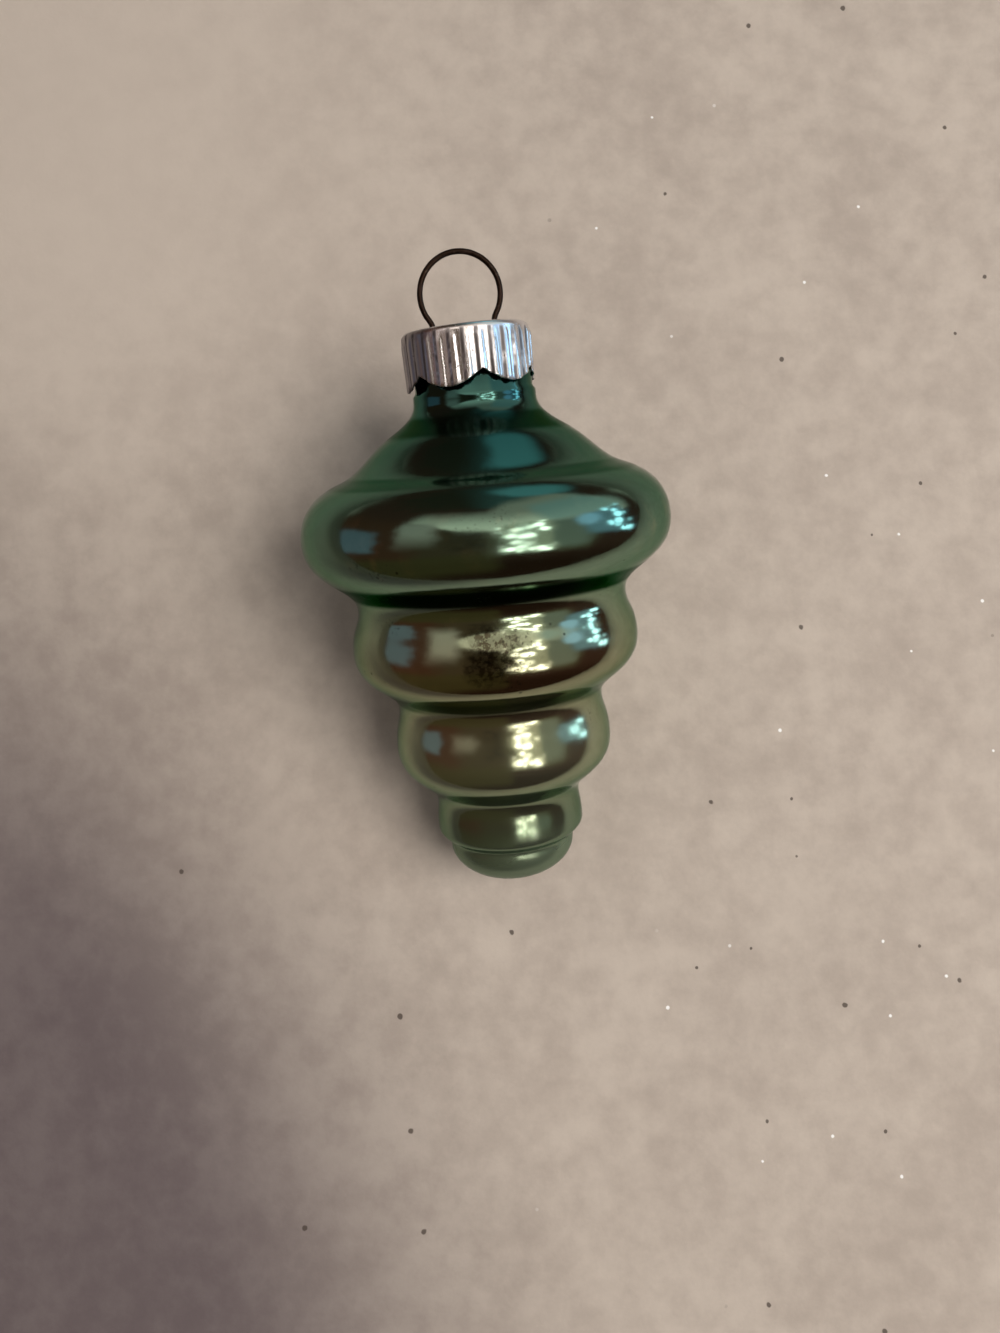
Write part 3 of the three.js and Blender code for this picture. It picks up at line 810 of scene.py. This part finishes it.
def dim_room():
    """A room painted by direction round the ornament: turn in degrees from the front, rise above the level."""
    material, start, place = new_material("dim_room")
    x, y, z = parts_of(place)
    turn = start.math("ARCTAN2", x, y * -1.0) * math.degrees(1)
    level = start.math("SQRT", x * x + y * y)
    rise = start.math("ARCTAN2", z - CENTRE.z, level) * math.degrees(1)
    from_centre = start.node("ShaderNodeVectorMath", {"operation": "SUBTRACT"}, {0: place, 1: CENTRE})
    way = start.node("ShaderNodeVectorMath", {"operation": "NORMALIZE"}, {0: from_centre})
    smudge = start.noise(way, 12.0, detail=4.0, roughness=0.7)

    # painted highlights for the two lamps, broken up as if by leaves into gleams of many shapes and strengths
    leaf_place = start.node("ShaderNodeCombineXYZ", {}, {"X": turn, "Y": rise, "Z": 0.0})
    leaves = {"Vector": leaf_place, "Scale": 0.135, "Randomness": 1.0}
    strength = start.node("ShaderNodeTexVoronoi", {}, leaves, output=1)
    strength = start.node("ShaderNodeSeparateColor", {}, {"Color": strength})
    gleam = start.node("ShaderNodeTexVoronoi", {}, leaves).between(0.60, 0.34) * strength.between(0.05, 0.42)

    # every edge in the room wanders, as the glass isn't true
    wander = (start.noise(way, 3.2, detail=2.0) - 0.5) * 14.0
    turn, rise = turn + wander, rise + wander * 0.6

    def zone(left, right, low, high, soft):
        sides = turn.between(left - soft, left + soft) * turn.between(right + soft, right - soft)
        return sides * rise.between(low - soft, low + soft) * rise.between(high + soft, high - soft)

    def disc(azimuth, elevation, reach):
        off = start.node("ShaderNodeVectorMath", {"operation": "DISTANCE"}, {
            0: way, 1: direction(azimuth, elevation)
        }, output=1)
        return (off + wander * 0.012).between(reach, reach * 0.45)

    def painted(room, *zones):
        """Paints zones over the room: the left, right, low and high edges, their softness and the colour."""
        for *edges, colour in zones:
            room = start.blend(zone(*edges), room, colour)
        return room

    # the room in front is brown and dull, more olive low on the left, and dark or teal overhead
    room = start.blend(rise.between(-10, -50), (0.080, 0.036, 0.026), (0.034, 0.014, 0.009))
    room = painted(
        room, (-125, -25, -25, 40, 12, (0.105, 0.042, 0.025)), (-46, 6, -30, 34, 9, (0.095, 0.060, 0.036)),
        (2, 66, -24, 34, 7, (0.155, 0.125, 0.080)),
    )
    low_left = rise.between(-11, -23) * rise.between(-75, -50) * turn.between(-125, -95) * turn.between(12, 0)
    room = start.blend(low_left * 0.8, room, (0.088, 0.064, 0.026))
    overhead = start.blend(x.between(-0.12, 0.12), (0.045, 0.036, 0.024), (0.080, 0.140, 0.140))
    room = start.blend((rise + (smudge - 0.5) * 34.0).between(52, 74), room, overhead)

    # a pale wall closes the room behind the paper, with a lit band and a paned window on each side
    back_turn = start.math("ABSOLUTE", turn)
    wall = start.blend(rise.between(-64, 4), (0.24, 0.18, 0.13), (0.60, 0.52, 0.43))
    room = start.blend(back_turn.between(116, 134) * rise.between(56, 40), room, wall)
    band = back_turn.between(106, 122) * rise.between(9, 15) * rise.between(46, 34)
    room = start.blend(band, room, (1.25, 1.10, 0.92))
    pane = start.math("ABSOLUTE", back_turn - 147.0).between(1.0, 2.4)
    pane = pane * start.math("ABSOLUTE", rise - 4.0).between(1.0, 2.4)
    room = start.blend(zone(134, 160, -22, 24, 2) * pane, room, (3.6, 3.1, 2.5))
    room = start.blend(zone(-164, -132, -22, 24, 2) * pane, room, (1.0, 1.3, 1.6))

    # a pale crescent of ceiling arches over the front, bluer on the right, with a smudge below it
    foot = start.math("MAXIMUM", turn * -0.5 - 4.0, 0.0) + 18.0
    top = start.math("MAXIMUM", turn * 0.8, 0.0) + 54.0
    pale = turn.between(-58, -42) * turn.between(104, 88)
    pale = pale * (rise - foot).between(-1, 4) * (rise - top).between(8, -8) * rise.between(80, 64)
    bright = start.blend(rise.between(26, 52), (1.40, 1.20, 1.02), (0.56, 0.47, 0.40))
    room = start.blend(pale, room, bright)
    room = start.blend(zone(38, 96, 22, 58, 8) * 0.8, room, (0.42, 0.56, 0.58))
    room = start.blend(disc(122, 72, 0.28), room, (0.20, 0.46, 0.52))
    room = start.blend(zone(-20, 0, -6, 20, 5) * smudge.between(0.40, 0.60), room, (0.030, 0.020, 0.014))

    # a curtain and grey walls on the left and right, and painted haze and painted highlights round the two
    # lamps
    curtain = zone(-56, -31, -60, 60, 6) * rise.between(-8, 24) * rise.between(47, 33)
    room = start.blend(curtain, room, (0.56, 0.46, 0.41))
    room = painted(
        room, (-98, -70, -6, 22, 3, (0.19, 0.22, 0.29)), (36, 62, -18, 25, 5, (0.29, 0.29, 0.25)),
        (62, 92, -4, 26, 4, (0.28, 0.42, 0.56)), (10, 40, -22, 28, 4, (0.70, 0.62, 0.48)),
    )
    room = start.blend(disc(64, 17, 0.21) * 0.9, room, (0.66, 1.00, 1.45))
    room = start.blend(zone(8, 38, -22, 27, 3) * gleam, room, (7.2, 6.4, 5.9))
    room = start.blend(zone(77, 95, -6, 27, 3) * gleam, room, (2.6, 4.3, 5.6))
    glow = start.node("ShaderNodeEmission", {}, {"Color": room, "Strength": 1.0})
    start.node("ShaderNodeOutputMaterial", {}, {"Surface": glow})
    return material


DOME_RADIUS = 0.7
DOME_STEP = 15
elevations, azimuths = range(-90, 91, DOME_STEP), range(0, 360, DOME_STEP)
columns = len(azimuths)
points, faces = [], []
for elevation in elevations:
    points += [CENTRE + direction(azimuth, elevation) * DOME_RADIUS for azimuth in azimuths]
for row in range(0, (len(elevations) - 1) * columns, columns):
    for j in range(columns):
        beside = (j + 1) % columns
        faces.append((row + j, row + beside, row + columns + beside, row + columns + j))
only_mirrored(stage_piece("dim_room", points, faces, dim_room()))


# The world is a plain even light that fills the shadows. What is seen of it, straight or in glass and metal,
# is the paper's colour.
world = bpy.data.worlds.new("even_light")
world.use_nodes = True
world.node_tree.nodes.clear()
sky = Wire(world.node_tree)
even = sky.node("ShaderNodeBackground", {}, {"Color": (1.0, 0.98, 0.97, 1), "Strength": 0.21})
seen = sky.node("ShaderNodeBackground", {}, {"Color": (0.50, 0.43, 0.36, 1), "Strength": 1.0})
shown = 0.0
for ray in ("Is Camera Ray", "Is Glossy Ray", "Is Transmission Ray"):
    shown = sky.math("MAXIMUM", shown, sky.node("ShaderNodeLightPath", {}, {}, output=ray))
both = sky.node("ShaderNodeMixShader", {}, {0: shown, 1: even, 2: seen})
sky.node("ShaderNodeOutputWorld", {}, {"Surface": both})
bpy.context.scene.world = world


# The camera has a wide lens. It is held close over the paper and nearly square to it, and is turned a
# little in the hand, as the photograph shows.
lens = bpy.data.cameras.new("camera")
lens.lens = 27.0
lens.clip_start = 0.005
camera = bpy.data.objects.new("camera", lens)
bpy.context.scene.collection.objects.link(camera)
right = Vector((0.9964, -0.0194, -0.0824))
up = Vector((0.0847, 0.2282, 0.9699))
back = Vector((0, -0.9734, 0.229))
turn = Matrix((right, up, back)).transposed().to_quaternion().to_matrix().to_4x4()
camera.matrix_world = Matrix.Translation(Vector((0.30, -128.95, -21.05)) * MM) @ turn
bpy.context.scene.camera = camera
bpy.context.scene.view_settings.view_transform = "Standard"
